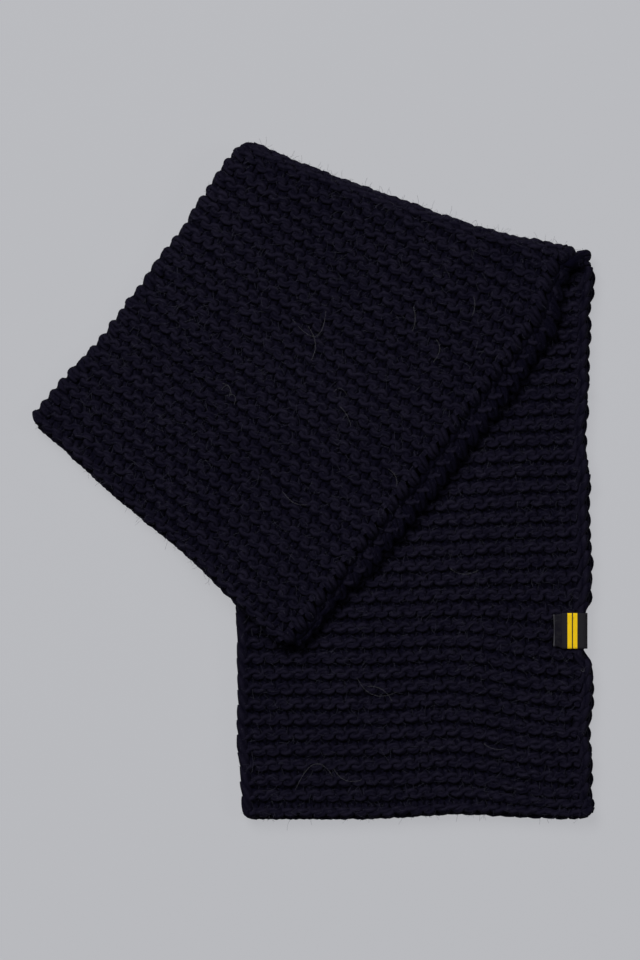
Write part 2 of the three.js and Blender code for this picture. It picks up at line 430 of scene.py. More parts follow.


# The inner knit seen between the yarns, and the underside's rows; painted much darker than the yarn, as
# painted shade between the yarns
def bedMaterial():
    material, graph, shader = newMaterial("knit_inside_painted_shade", bedLook["roughness"], 0.03)
    place = graph.place()
    x, y, z = graph.split(place)
    ridges = graph.math("SINE", y * (2 * math.pi / (cloth["ridgePitch"] * mm)))
    stitches = graph.math("SINE", x * (2 * math.pi / (cloth["stitchWidth"] * mm)) + ridges)
    fibre = graph.noise(place, bedLook["fibreScale"], 3)
    height = ridges * 0.35 + stitches * 0.2 + fibre * 0.35
    plug(graph, graph.blend(fibre, bedLook["dark"], bedLook["light"]), shader, "Base Color")
    plug(graph, graph.bump(0.8, bedLook["rowHeight"] * mm, height), shader, "Normal")
    return material


# The two shades that each kind of fibre varies between
fibreLook = {
    "loose_fibre": ((0.008, 0.008, 0.018, 1), (0.050, 0.050, 0.068, 1)),
    "pale_fibre": ((0.05, 0.05, 0.06, 1), (0.18, 0.18, 0.19, 1)),
}


def fibreMaterial(name):
    dark, light = fibreLook[name]
    material, graph, shader = newMaterial(name, 0.7)
    plug(graph, graph.blend(graph.noise(graph.place(), 160, 1), dark, light), shader, "Base Color")
    return material


ribbonLook = {
    "charcoal": (0.0088, 0.0084, 0.0105, 1),
    "thread": (0.0215, 0.0208, 0.0240, 1),
    "hem": (0.0066, 0.0061, 0.0102, 1),
    "endThread": (0.085, 0.085, 0.095, 1),
    "yellow": (0.83, 0.55, 0.010, 1),
    "yellowShade": (0.5, 0.27, 0.002, 1),
    "stripeFrom": 179.2,
    "stripeTo": 186.2,
    "pinLine": 182.7,     # a thin dark line down the stripe
    "pinWidth": 0.8,
    "hemTo": 175.4,
    "endTo": 170.0,
    "faceFrom": 14.0,     # the face is what lies above this height
    "ribs": 0.55,         # from one weft rib to the next
    "ribHeight": 0.3,
}


def ribbonMaterial():
    material, graph, shader = newMaterial("woven_ribbon", 0.8, 0.05)
    place = graph.place()
    x, y, z = graph.split(place)
    pitch = ribbonLook["ribs"] * mm
    ribs = graph.math("SINE", x * (2 * math.pi / pitch)) * 0.5 + 0.5
    warp = graph.math("SINE", y * (2 * math.pi / (pitch * 0.8))) * 0.5 + 0.5
    weave = ribs * 0.6 + warp * 0.4
    face = graph.math("GREATER_THAN", z, ribbonLook["faceFrom"] * mm)
    pin = graph.math("COMPARE", x, ribbonLook["pinLine"] * mm)
    pin.socket.node.inputs[2].default_value = ribbonLook["pinWidth"] / 2 * mm
    pastStart = graph.math("GREATER_THAN", x, ribbonLook["stripeFrom"] * mm)
    beforeEnd = graph.math("LESS_THAN", x, ribbonLook["stripeTo"] * mm)
    stripe = pastStart * beforeEnd * face * (1 - pin)
    hem = graph.math("LESS_THAN", x, ribbonLook["hemTo"] * mm) * face
    end = graph.math("LESS_THAN", x, ribbonLook["endTo"] * mm) * face
    cloud = graph.noise(place, 420, 3)
    patches = graph.ramp(cloud, (0.38, 0.35), (0.6, 1.0))
    colour = graph.blend(weave, ribbonLook["charcoal"], ribbonLook["thread"])
    colour = graph.blend(hem * patches, colour, ribbonLook["hem"])
    colour = graph.blend(end * cloud, colour, ribbonLook["endThread"])
    yellow = graph.blend(weave * 0.35, ribbonLook["yellow"], ribbonLook["yellowShade"])
    plug(graph, graph.blend(stripe, colour, yellow), shader, "Base Color")
    plug(graph, graph.bump(0.7, ribbonLook["ribHeight"] * mm, weave), shader, "Normal")
    return material


# A light table: it glows evenly, so that hardly a shadow shows on it
floorLook = {
    "dark": (0.050, 0.051, 0.053, 1),
    "light": (0.053, 0.054, 0.056, 1),
    "glow": (0.940, 0.950, 1.000, 1),
    "strength": 0.454,
}


def floorMaterial():
    material, graph, shader = newMaterial("pale_floor", 0.9, 0.1)
    mottle = graph.noise(graph.place(), 40, 2)
    plug(graph, graph.blend(mottle, floorLook["dark"], floorLook["light"]), shader, "Base Color")
    shader.inputs["Emission Color"].default_value = floorLook["glow"]
    shader.inputs["Emission Strength"].default_value = floorLook["strength"]
    return material


woolYarn = yarnMaterial()
knitInside = bedMaterial()
darkFibre = fibreMaterial("loose_fibre")
paleFibre = fibreMaterial("pale_fibre")
wovenRibbon = ribbonMaterial()

print("geometry node trees")


def newTree(name, sizes):
    tree = bpy.data.node_groups.new(name, "GeometryNodeTree")
    tree.is_modifier = True
    tree.interface.new_socket("Geometry", in_out="INPUT", socket_type="NodeSocketGeometry")
    tree.interface.new_socket("Geometry", in_out="OUTPUT", socket_type="NodeSocketGeometry")
    for label, value in sizes.items():
        kind = "NodeSocketInt" if isinstance(value, int) else "NodeSocketFloat"
        socket = tree.interface.new_socket(label, in_out="INPUT", socket_type=kind)
        socket.default_value = value
    graph = Graph(tree)
    given = tree.nodes.new("NodeGroupInput")
    wires = {socket.name: Wire(graph, socket) for socket in given.outputs if socket.name}
    return tree, graph, wires


# The tree's last nodes: real mesh, pressed flat where it meets the floor, smooth faces, one material
def endTree(graph, geometry, material):
    real = graph.node("GeometryNodeRealizeInstances", sockets={0: geometry})
    x, y, z = graph.split(graph.node("GeometryNodeInputPosition"))
    height = graph.math("MAXIMUM", z, cloth["floorGap"] * mm)
    held = graph.node("ShaderNodeCombineXYZ", sockets={"X": x, "Y": y, "Z": height})
    pressed = graph.node("GeometryNodeSetPosition", sockets={"Geometry": real, "Position": held})
    smoothed = graph.node("GeometryNodeSetShadeSmooth", sockets={"Geometry": pressed})
    dressed = graph.node("GeometryNodeSetMaterial", sockets={"Geometry": smoothed, "Material": material})
    result = graph.tree.nodes.new("NodeGroupOutput")
    graph.tree.links.new(dressed.socket, result.inputs[0])


# A soft push in any direction, the same each run for a seed
def noiseVector(graph, scale, amount, seed):
    sockets = {"Vector": graph.node("GeometryNodeInputPosition"), "W": seed, "Scale": scale, "Detail": 1}
    noise = graph.node("ShaderNodeTexNoise", {"noise_dimensions": "4D"}, sockets, "Color")
    centred = graph.node("ShaderNodeVectorMath", {"operation": "SUBTRACT"}, {0: noise, 1: (0.5, 0.5, 0.5)})
    return graph.scaled(centred, amount)


# A round thread along the curve, with its length and the way round it kept for the plies
def threadMesh(graph, curve, radius, sides):
    length = graph.node("GeometryNodeSplineParameter", output="Length")
    marked = graph.stored(curve, "yarnRun", length)
    place = graph.node("GeometryNodeInputPosition")
    around = graph.node("ShaderNodeVectorMath", {"operation": "NORMALIZE"}, {0: place})
    profile = graph.stored(graph.circle(sides, radius), "yarnAround", around, "FLOAT_VECTOR")
    return graph.swept(marked, profile)


yarn = {
    "Yarn Radius": 2.5 * mm,
    "Loop Height": 4.9 * mm,
    "Loop Waist": 1.9 * mm,
    "Loop Lean": 1.2 * mm,
    "Loop Depth": 2.2 * mm,
    "Unevenness": 2.6 * mm,
    "Sides": 8,
    "Seed": 7,
}
# Noise scales of the yarn's path and girth, and the girth's thinnest share and how much it swells
yarnNoise = {"path": 110, "girth": 150, "thinnest": 0.37, "swell": 1.3}


# Rows of knitting: each row line is bent into loops that reach into the rows above and below it
def knitTree():
    tree, graph, wires = newTree("knit_rows", yarn)
    phase = graph.attribute("loopPhase")
    face = graph.attribute("faceSign")
    wave = graph.math("COSINE", phase)
    across = graph.math("SINE", phase * 2) * wires["Loop Waist"] + face * wave * wave * wires["Loop Lean"]
    along = wave * wires["Loop Height"] * -1
    out = face * wave * wires["Loop Depth"] * -1
    shift = graph.summed(
        graph.scaled(graph.attribute("rowWay", "FLOAT_VECTOR"), across),
        graph.scaled(graph.attribute("growWay", "FLOAT_VECTOR"), along),
        graph.scaled(graph.attribute("outWay", "FLOAT_VECTOR"), out),
    )
    curve = graph.node("GeometryNodeMeshToCurve", sockets={"Mesh": wires["Geometry"]})
    # How high each point lies in the knit, kept for the painted shade in the valleys
    marked = graph.stored(curve, "paintedShadeRise", face * wave * -0.5 + 0.5)
    push = noiseVector(graph, yarnNoise["path"], wires["Unevenness"], wires["Seed"])
    uneven = graph.moved(graph.moved(marked, shift), push)
    place = graph.node("GeometryNodeInputPosition")
    sockets = {"Vector": place, "W": wires["Seed"], "Scale": yarnNoise["girth"], "Detail": 0}
    thick = graph.node("ShaderNodeTexNoise", {"noise_dimensions": "4D"}, sockets)
    girth = thick * yarnNoise["swell"] + yarnNoise["thinnest"]
    shaped = graph.girthed(uneven, girth)
    endTree(graph, threadMesh(graph, shaped, wires["Yarn Radius"], wires["Sides"]), woolYarn)
    return tree


stroke = {
    "Yarn Radius": 2.8 * mm,
    # the painted shade of the strokes, as if they lay so high in the knit
    "Painted Shade Rise": 0.8,     # 1 at the top of the knit, 0 at its bottom
    "End Taper": 0.6,
    "Unevenness": 5.0 * mm,
    "Sides": 8,
    "Seed": 3,
}
strokeNoise = 60
strokeBluntness = 5


# Selvedge strokes: plain threads along the given lines
def strokeTree():
    tree, graph, wires = newTree("selvedge_strokes", stroke)
    curve = graph.node("GeometryNodeMeshToCurve", sockets={"Mesh": wires["Geometry"]})
    # The strokes' painted shade, as for the rows
    marked = graph.stored(curve, "paintedShadeRise", wires["Painted Shade Rise"])
    push = noiseVector(graph, strokeNoise, wires["Unevenness"], wires["Seed"])
    uneven = graph.moved(marked, push)
    fromMiddle = graph.math("ABSOLUTE", graph.node("GeometryNodeSplineParameter") * 2 - 1)
    girth = 1 - fromMiddle ** strokeBluntness * wires["End Taper"]
    shaped = graph.girthed(uneven, girth)
    endTree(graph, threadMesh(graph, shaped, wires["Yarn Radius"], wires["Sides"]), woolYarn)
    return tree


fuzz = {
    "Fibres per Square Metre": 16000.0,
    "Fibre Length": 6.5 * mm,
    "Fibre Radius": 0.075 * mm,
    "Lowest Root": 9.0 * mm,
    "Seed": 11,
}


# One hair by shares of its length, how far it leans from the yarn, and its shortest and longest share
hairShape = {
    "middle": (0.3, 0.1, 0.6),
    "end": (0.2, 0.3, 1.0),
    "lean": (1.25, 1.25, 3.1),
    "shortest": 0.35,
    "longest": 1.3,
    "lowestFacing": -0.3,
}


# Loose fibres that stand off the yarn, each a short bowed hair
def fuzzTree():
    tree, graph, wires = newTree("loose_fibres", fuzz)
    upward = graph.split(graph.node("GeometryNodeInputNormal"))[2]
    height = graph.split(graph.node("GeometryNodeInputPosition"))[2]
    facing = graph.math("GREATER_THAN", upward, hairShape["lowestFacing"])
    facing = facing * graph.math("GREATER_THAN", height, wires["Lowest Root"])
    sockets = {"Mesh": wires["Geometry"], "Selection": facing, "Seed": wires["Seed"]}
    sockets["Density"] = wires["Fibres per Square Metre"]
    spread = graph.node("GeometryNodeDistributePointsOnFaces", sockets=sockets)
    sockets = {"Resolution": 3, "Start": (0, 0, 0), "Middle": hairShape["middle"], "End": hairShape["end"]}
    hair = graph.node("GeometryNodeCurveQuadraticBezier", sockets=sockets)
    least = tuple(-angle for angle in hairShape["lean"])
    sockets = {0: least, 1: hairShape["lean"], "Seed": wires["Seed"]}
    tilt = graph.node("FunctionNodeRandomValue", {"data_type": "FLOAT_VECTOR"}, sockets)
    sockets = {"Rotation": spread.take("Rotation"), "Rotate By": tilt}
    turned = graph.node("FunctionNodeRotateRotation", {"rotation_space": "LOCAL"}, sockets)
    sockets = {2: hairShape["shortest"], 3: hairShape["longest"], "Seed": wires["Seed"]}
    size = graph.node("FunctionNodeRandomValue", {"data_type": "FLOAT"}, sockets, 1) * wires["Fibre Length"]
    sockets = {"Points": spread, "Instance": hair, "Rotation": turned, "Scale": size}
    placed = graph.node("GeometryNodeInstanceOnPoints", sockets=sockets)
    real = graph.node("GeometryNodeRealizeInstances", sockets={0: placed})
    circle = graph.circle(3, wires["Fibre Radius"])
    endTree(graph, graph.swept(graph.girthed(real, 1.0), circle), darkFibre)
    return tree


def addObject(name, data):
    made = bpy.data.objects.new(name, data)
    bpy.context.scene.collection.objects.link(made)
    return made


def meshObject(name, points, faces=(), edges=()):
    mesh = bpy.data.meshes.new(name)
    mesh.from_pydata([tuple(point) for point in np.asarray(points) * mm], edges, faces)
    return addObject(name, mesh)


# One object from lines that all have as many points
def linesObject(name, lines):
    count = len(lines[0])
    edges = []
    for first in range(0, count * len(lines), count):
        edges += [(first + step, first + step + 1) for step in range(count - 1)]
    return meshObject(name, np.concatenate(lines), edges=edges)


def setAttribute(made, name, values, kind="FLOAT"):
    values = np.asarray(values, np.float32)
    attribute = made.data.attributes.new(name, kind, "POINT")
    attribute.data.foreach_set("vector" if kind == "FLOAT_VECTOR" else "value", values.ravel())


# Runs a tree on an object and leaves its result as a plain mesh of that name
def grow(source, tree, name, inputs=None):
    modifier = source.modifiers.new("grow", "NODES")
    modifier.node_group = tree
    sockets = {item.name: item.identifier for item in tree.interface.items_tree if item.in_out == "INPUT"}
    for label, value in (inputs or {}).items():
        modifier[sockets[label]] = value
    graph = bpy.context.evaluated_depsgraph_get()
    mesh = bpy.data.meshes.new_from_object(source.evaluated_get(graph), depsgraph=graph)
    source.modifiers.remove(modifier)
    mesh.name = name
    mesh.calc_loop_triangles()
    print(" ", name, len(mesh.loop_triangles), "triangles")
    return addObject(name, mesh)


# The same for a source that nothing else needs
def growOnce(source, tree, name, inputs=None):
    made = grow(source, tree, name, inputs)
    bpy.data.objects.remove(source)
    return made


knitRows = knitTree()
selvedgeStrokes = strokeTree()

print("row lines")

rows = {
    "stepsPerStitch": 12,
    "probe": 0.4,         # step for the directions along and across the rows
    "bed": 11.4,          # middle of the upper layer's yarn
    "underBed": 5.8,      # middle of the bottom layer's yarn
    "firstRow": 2.7,
    "selvedgeRoom": 6.0,  # left free for the selvedge
    "underStitches": (23, 25.5),
}


def unit(ways):
    return ways / np.maximum(np.linalg.norm(ways, axis=-1, keepdims=True), 1e-9)


# Points of one row with its ways along, up and out of the cloth
def rowFrame(pointAt, across, along, up):
    step = rows["probe"]
    rowWay = (pointAt(across + step, along, up) - pointAt(across - step, along, up)) / (2 * step)
    growWay = (pointAt(across, along + step, up) - pointAt(across, along - step, up)) / (2 * step)
    outWay = unit(np.cross(rowWay, growWay))
    growWay = unit(np.cross(outWay, rowWay)) * np.linalg.norm(growWay, axis=-1, keepdims=True)
    return pointAt(across, along, up), rowWay, growWay, outWay


# Row lines of a stretch, cut to where keep is true; each row is worked from one selvedge to the other
def rowLines(name, pointAt, table, span, keep, up, stitches):
    half = cloth["ridgePitch"] / 2
    count = int(round((stitches[1] - stitches[0]) * rows["stepsPerStitch"])) + 1
    stitch = np.linspace(*stitches, count)
    data, edges, total = [], [], 0
    for row in range(*span):
        along = np.full(count, rows["firstRow"] + half * row)
        left = edgeAt(table, along, "left") + rows["selvedgeRoom"]
        right = edgeAt(table, along, "right") - rows["selvedgeRoom"]
        across = left + (right - left) * stitch / cloth["stitches"]
        frames = rowFrame(pointAt, across, along, up)
        index = np.flatnonzero(keep(frames[0], across, along))
        if len(index) < rows["stepsPerStitch"] // 2:
            continue
        face = np.full(count, 1 if row % 2 == 0 else -1)
        data.append([values[index] for values in (*frames, 2 * np.pi * stitch, face)])
        numbers = total + np.arange(len(index))
        joined = np.diff(index) == 1
        edges += list(zip(numbers[:-1][joined].tolist(), numbers[1:][joined].tolist()))
        total += len(index)
    points, rowWay, growWay, outWay, phase, face = (np.concatenate(parts) for parts in zip(*data))
    made = meshObject(name, points, edges=edges)
    setAttribute(made, "loopPhase", phase)
    setAttribute(made, "faceSign", face)
    for key, ways in (("rowWay", rowWay), ("growWay", growWay), ("outWay", outWay)):
        setAttribute(made, key, ways, "FLOAT_VECTOR")
    return made


# Where rows and selvedges end: so far under the folded stretch, and so far past the seam or round the fold
cut = {
    "overlap": 14.0,
    "foldReach": 0.93,
    "lowerPast": 7.0,
    "cornerPast": 11.0,
    "cornerFrom": 168.0,
    "cornerTo": 188.0,
    "cornerDraw": 5.5,
    "drawFrom": 385.0,
    "drawOver": 20.0,
}


def toSeam(points, across, along):
    return atFold(points[:, 0], points[:, 1])[1] < cut["lowerPast"]


# The lower stretch's selvedges run on past the seam, furthest at the right, where nothing covers them
def toCorner(points, across, along):
    x, y = points[:, 0], points[:, 1]
    corner = smooth((x - cut["cornerFrom"]) / (cut["cornerTo"] - cut["cornerFrom"]))
    return atFold(x, y)[1] < cut["lowerPast"] + cut["cornerPast"] * corner


def lowerShows(points, across, along):
    return ~underFlap(points[:, 0], points[:, 1], cut["overlap"]) & toSeam(points, across, along)


def flapShows(points, across, along):
    run, past, bulge, girth = atFold(*flapPlane(across, along))
    return past < cut["foldReach"] * girth


def underShows(points, across, along):
    return (across < edgeAt(flap, along, "under") - rows["selvedgeRoom"]) & flapShows(points, across, along)


def splitRows(name, pointAt, table, spans, keep, up, stitches=(0, cloth["stitches"])):
    made = []
    for part, span in enumerate(spans):
        lines = rowLines(name + "_lines", pointAt, table, span, keep, up, stitches)
        made.append(growOnce(lines, knitRows, f"{name}_{part + 1}"))
    return made


lowerTurned = turnedEnd(lowerPoint)
flapTurned = turnedEnd(flapPoint)
flapSpans = [(-3, 22), (22, 44), (44, 66)]
lowerKnit = splitRows("lower_knit", lowerTurned, lower, [(-3, 28), (28, 84)], lowerShows, rows["bed"])
flapKnit = splitRows("flap_knit", flapTurned, flap, flapSpans, flapShows, rows["bed"])
underKnit = splitRows(
    "under_knit", flapTurned, flap, [(0, 62)], underShows, rows["underBed"], rows["underStitches"]
)

print("selvedges")

chainShape = {
    "halfWidth": 2.5, "apart": 0.3, "startShare": 0.12,
    "rise": 1.2, "tuck": 1.6, "reach": 1.1, "points": 8,
}


# A chain of slanted strokes along a selvedge, its middle so far in from the edge and leaning over it by tilt
def chainStrokes(table, column, centreIn, height, tilt, ridges):
    side = -1 if column == "left" else 1
    share = np.linspace(0, 1, chainShape["points"])
    opening = np.sin(np.pi * (chainShape["startShare"] + (1 - chainShape["startShare"]) * share))
    out = chainShape["rise"] * np.sin(np.pi * share) - chainShape["tuck"] * share ** 2
    for ridge in range(*ridges):
        along = cloth["ridgePitch"] * (ridge + 0.5 + chainShape["reach"] * (share - 0.5))
        for leg in (-1, 1):
            lateral = leg * (chainShape["halfWidth"] * opening + chainShape["apart"])
            inward = -centreIn + lateral * math.cos(tilt) + out * math.sin(tilt)
            up = height - lateral * math.sin(tilt) + out * math.cos(tilt)
            yield edgeAt(table, along, column) + side * inward, along, up


turnShape = {"legGap": 2.2, "turnAt": 3.8, "rise": 1.6, "drop": 2.6, "legPoints": 5, "turnPoints": 7}


# Where the yarn turns round at a selvedge: one loop lying square to the edge for each ridge
def turnStrokes(table, column, inner, height, skew, ridges):
    side = -1 if column == "left" else 1
    gap, turnAt = turnShape["legGap"], turnShape["turnAt"]
    leg = np.linspace(inner, turnAt, turnShape["legPoints"])
    turn = np.linspace(-math.pi / 2, math.pi / 2, turnShape["turnPoints"])[1:-1]
    depth = np.concatenate([leg, turnAt - gap * np.cos(turn), leg[::-1]])
    shift = np.concatenate([np.full(len(leg), -gap), gap * np.sin(turn), np.full(len(leg), gap)])
    outward = (inner - depth) / (inner - turnAt + gap)
    rise = turnShape["rise"] * np.sin(np.pi * outward) - turnShape["drop"] * outward ** 3
    for ridge in range(*ridges):
        middle = cloth["ridgePitch"] * (ridge + 0.5)
        along = middle + shift + skew * (1 - outward)
        if table is lower:
            along = along - cut["cornerDraw"] * smooth((middle - cut["drawFrom"]) / cut["drawOver"])
        yield edgeAt(table, along, column) - side * depth, along, height + rise


ropeShape = {"tuck": 1.2, "rise": 1.6, "points": 10}


# A rope of overlapping strokes, each from its ridge's inner side up to the edge; reach is in ridges
def ropeStrokes(table, column, centreIn, height, slant, reach, ridges):
    side = -1 if column == "left" else 1
    share = np.linspace(0, 1, ropeShape["points"])
    depth = centreIn + slant * (0.5 - share) + ropeShape["tuck"] * share ** 4
    rise = ropeShape["rise"] * np.sin(np.pi * share)
    for ridge in range(*ridges):
        along = cloth["ridgePitch"] * (ridge + 0.5 + reach * (share - 0.5))
        yield edgeAt(table, along, column) - side * depth, along, height + rise


# Each row: the cloth's place, table and edge, what its strokes take, their ridges, and what is kept of them
chains = {
    "lower_left_bottom_chain": (lowerTurned, lower, "left", 5.0, 5.2, 1.4, (0, 44), toCorner),
    "lower_right_bottom_chain": (lowerTurned, lower, "under", 5.0, 5.2, 1.2, (0, 38), toSeam),
    "flap_left_bottom_chain": (flapTurned, flap, "left", 4.2, 5.0, 1.2, (0, 28), flapShows),
    "flap_right_side_chain": (flapTurned, flap, "right", -1.2, 6.6, 0.5, (0, 34), flapShows),
}
turns = {
    "lower_right_corner_turns": (lowerTurned, lower, "right", 9.0, 12.0, -2.0, (36, 38), toCorner),
    "flap_left_upper_turns": (flapTurned, flap, "left", 9.0, 12.0, -2.4, (-1, 28), flapShows),
    "flap_right_upper_turns": (flapTurned, flap, "right", 9.0, 12.0, 3.6, (-1, 34), flapShows),
    "flap_right_bottom_turns": (flapTurned, flap, "under", 12.0, 6.2, 7.5, (0, 34), flapShows),
}
ropes = {
    "lower_left_upper_rope": (lowerTurned, lower, "left", 3.5, 11.4, 3.4, 1.9, (-1, 44), toCorner),
    "lower_right_upper_rope": (lowerTurned, lower, "right", 3.5, 11.3, 6.4, 1.35, (-1, 36), toCorner),
}
turnYarn = {"Yarn Radius": 2.45 * mm, "End Taper": 0.5}
ropeYarn = {"Yarn Radius": 3.3 * mm, "End Taper": 0.7}
# Painted shade: the strokes of the bottom layer and the flap's side are painted darker, as if low in the
# knit
hiddenYarnPaintedShade = {"Painted Shade Rise": 0.25}


def makeSelvedges(kind, strokes, inputs):
    made = []
    for name, (pointAt, table, *shape, keep) in kind.items():
        lines = []
        for across, along, up in strokes(table, *shape):
            line = pointAt(across, along, up)
            if keep(line, across, along).all():
                lines.append(line)
        # The bottom layer's and the side strokes take the darker painted shade
        shadeInputs = hiddenYarnPaintedShade if "bottom" in name or "side" in name else {}
        source = linesObject(name + "_lines", lines)
        made.append(growOnce(source, selvedgeStrokes, name, {**inputs, **shadeInputs}))
    return made


selvedges = makeSelvedges(chains, chainStrokes, {})
selvedges += makeSelvedges(turns, turnStrokes, turnYarn)
selvedges += makeSelvedges(ropes, ropeStrokes, ropeYarn)

print("inner body")

body = {
    "top": 10.6,
    "inset": 3.4,         # under the yarn at the edges
    "topInset": 2.0,
    "bottomInset": 1.5,
    "shoulder": 1.5,
    "groove": 1.2,
    "grooveAbove": 1.0,
    "grooveHalf": 0.6,
    "grooveLeft": 0.4,
    "columns": 50,
    "step": 3.6,
    "floorGap": 0.35,
    "foldInset": 5.0,
    "endDraw": 3.5,
    "endInset": 3.0,
    "endShares": (0.02, 0.1, 0.25, 0.5, 0.75),
    "lowerLength": 480,
    "flapLength": 345,
}


# Closed section of the doubled cloth under its yarn, with a groove between the layers
def bodySection(table, along):
    left = float(edgeAt(table, along, "left")) + body["inset"]
    right = float(edgeAt(table, along, "right")) - body["inset"]
    under = float(edgeAt(table, along, "under")) - body["inset"]
    layer, shoulder = cloth["layer"], body["top"] - body["shoulder"]
    topAcross = np.linspace(left + body["topInset"], right - body["topInset"], body["columns"])
    bottomAcross = np.linspace(under - body["bottomInset"], left + body["bottomInset"], body["columns"])
    section = [(across, body["top"]) for across in topAcross]
    section += [
        (right, shoulder),
        (right - body["grooveAbove"], layer + body["grooveHalf"]),
        (under - body["groove"], layer - body["grooveHalf"]),
        (under, layer / 2),
    ]
    section += [(across, body["floorGap"]) for across in bottomAcross]
    section += [(left, layer / 2), (left + body["groove"], layer - body["grooveLeft"]), (left, shoulder)]
    return np.array(section)


# At the turned end the section closes round the middle
def bodyRings(pointAt, table, length):
    reach = cloth["endRound"]
    shares = [reach * share for share in body["endShares"]]
    rings = []
    for along in shares + list(np.arange(reach, length, body["step"])):
        section = bodySection(table, max(along, reach))
        thick = math.sqrt(1 - (1 - min(1, along / reach)) ** 2)
        up = cloth["layer"] + (section[:, 1] - cloth["layer"]) * thick
        drawn = body["endDraw"] * (1 - thick) * np.sign(section[:, 0] - section[:, 0].mean())
        inset = np.full(len(up), along + body["endInset"] * (1 - thick))
        rings.append(pointAt(section[:, 0] - drawn, inset, up))
    return rings


# A closed skin over rings of points
def skinRings(name, rings):
    count = len(rings[0])
    faces = [tuple(range(count - 1, -1, -1))]
    for ring in range(len(rings) - 1):
        for point in range(count):
            a = ring * count + point
            b = ring * count + (point + 1) % count
            faces.append((a, a + count, b + count, b))
    last = (len(rings) - 1) * count
    faces.append(tuple(range(last, last + count)))
    return meshObject(name, np.concatenate(rings), faces)


# Cuts a body at the fold's seam, closes the cut and turns every face outwards
def finishBody(made, cutAtSeam):
    work = bmesh.new()
    work.from_mesh(made.data)
    if cutAtSeam:
        place = Vector((fold["seamX"], fold["seamY"], 0)) * mm
        way = Vector((-foldSin, foldCos, 0))
        everything = work.verts[:] + work.edges[:] + work.faces[:]
        bmesh.ops.bisect_plane(work, geom=everything, plane_co=place, plane_no=way, clear_outer=True)
        open_ = [edge for edge in work.edges if edge.is_boundary]
        bmesh.ops.contextual_create(work, geom=open_)
    bmesh.ops.remove_doubles(work, verts=work.verts, dist=1e-6)
    bmesh.ops.recalc_face_normals(work, faces=work.faces)
    bmesh.ops.triangulate(work, faces=[face for face in work.faces if len(face.verts) > 4])
    work.to_mesh(made.data)
    work.free()
    made.data.polygons.foreach_set("use_smooth", [True] * len(made.data.polygons))
    made.data.materials.append(knitInside)
    return made


# The fold's inner body, whose ends lean in towards the top
foldCore = {"rings": 70, "sides": 24, "left": 5.0, "leftLean": 14.0, "right": 259.0, "rightLean": 18.0}


def foldRings():
    half = fold["height"] / 2
    first, last = fold["along"][0], fold["along"][-1]
    turn = np.linspace(-math.pi / 2, math.pi / 2, foldCore["sides"])
    up = half + (half - body["foldInset"]) * np.sin(turn)
    left = foldCore["left"] - foldCore["leftLean"] * up / fold["height"]
    right = foldCore["right"] - foldCore["rightLean"] * up / fold["height"]
    rings = []
    for share in np.linspace(0, 1, foldCore["rings"]):
        bulge = float(readTable(fold, first + (last - first) * share, "bulge"))
        out = (bulge - body["foldInset"]) * np.cos(turn)
        x, y = fromFold(left + (right - left) * share, out)
        rings.append(np.stack([x, y, up], -1))
    return rings


lowerRings = bodyRings(lowerPoint, lower, body["lowerLength"])
flapRings = bodyRings(flapPoint, flap, body["flapLength"])
lowerBody = finishBody(skinRings("lower_body", lowerRings), True)
flapBody = finishBody(skinRings("flap_body", flapRings), True)
foldBody = finishBody(skinRings("fold_body", foldRings()), False)

print("label tab")

tab = {
    "left": 169.0,
    "right": 193.6,
    "bottom": -119.3,
    "height": 25.2,
    "wall": 1.0,
    "front": 17.3,        # heights of its two faces
    "back": 7.5,
    "corner": 4.0,
    "backLeg": 10.0,
    "faceSteps": 24,
    "bendSteps": 13,
    "backSteps": 8,
    "widthSteps": 20,
}
# Its free end: the steps that it takes up, how it curls, dips, slants and ripples, and its folded hem
tabEnd = {
    "steps": 12,
    "curl": 2.2,
    "dip": 0.5,
    "slant": 0.7,
    "slantTurn": 3.0,
    "ripple": 0.2,
    "rippleAcross": 7.0,
    "rippleAlong": 0.5,
    "hemRise": 0.5,
    "narrowOver": 5.0,
    "narrowBottom": 1.8,
    "narrowTop": 1.0,
}


# The ribbon's middle line from its free end over the selvedge and back between the layers
def tabPath():
    half = tab["wall"] / 2
    middle = (tab["front"] + tab["back"]) / 2
    bend = (tab["front"] - tab["back"]) / 2 - half
    cornerX = tab["right"] - tab["corner"]
    path = [(x, tab["front"] - half) for x in np.linspace(tab["left"], cornerX, tab["faceSteps"])]
    for turn in np.linspace(math.pi / 2, -math.pi / 2, tab["bendSteps"])[1:-1]:
        x = cornerX + (tab["corner"] - half) * math.cos(turn)
        path.append((x, middle + bend * math.sin(turn)))
    backAcross = np.linspace(cornerX, cornerX - tab["backLeg"], tab["backSteps"])
    path += [(x, tab["back"] + half) for x in backAcross]
    return np.array(path)


# A point of the ribbon, from its path's point and the share of its height
def tabPoint(step, x, z, width):
    free = max(0.0, 1 - step / tabEnd["steps"])
    onFace = step < tabEnd["steps"]
    curl = tabEnd["curl"] * free ** 1.5 * (1 - width) ** 2 - tabEnd["dip"] * free * width
    hem = tabEnd["hemRise"] if onFace and x < ribbonLook["hemTo"] else 0.0
    ripple = tabEnd["ripple"] * math.sin(tabEnd["rippleAcross"] * width + tabEnd["rippleAlong"] * step)
    slant = tabEnd["slant"] * free * math.sin(width * tabEnd["slantTurn"])
    narrow = float(smooth((ribbonLook["hemTo"] + 1 - x) / tabEnd["narrowOver"])) if onFace else 0.0
    drawn = narrow * (tabEnd["narrowBottom"] * (1 - width) - tabEnd["narrowTop"] * width)
    y = tab["bottom"] + tab["height"] * width + drawn
    return x + slant, y, z + curl + hem + ripple


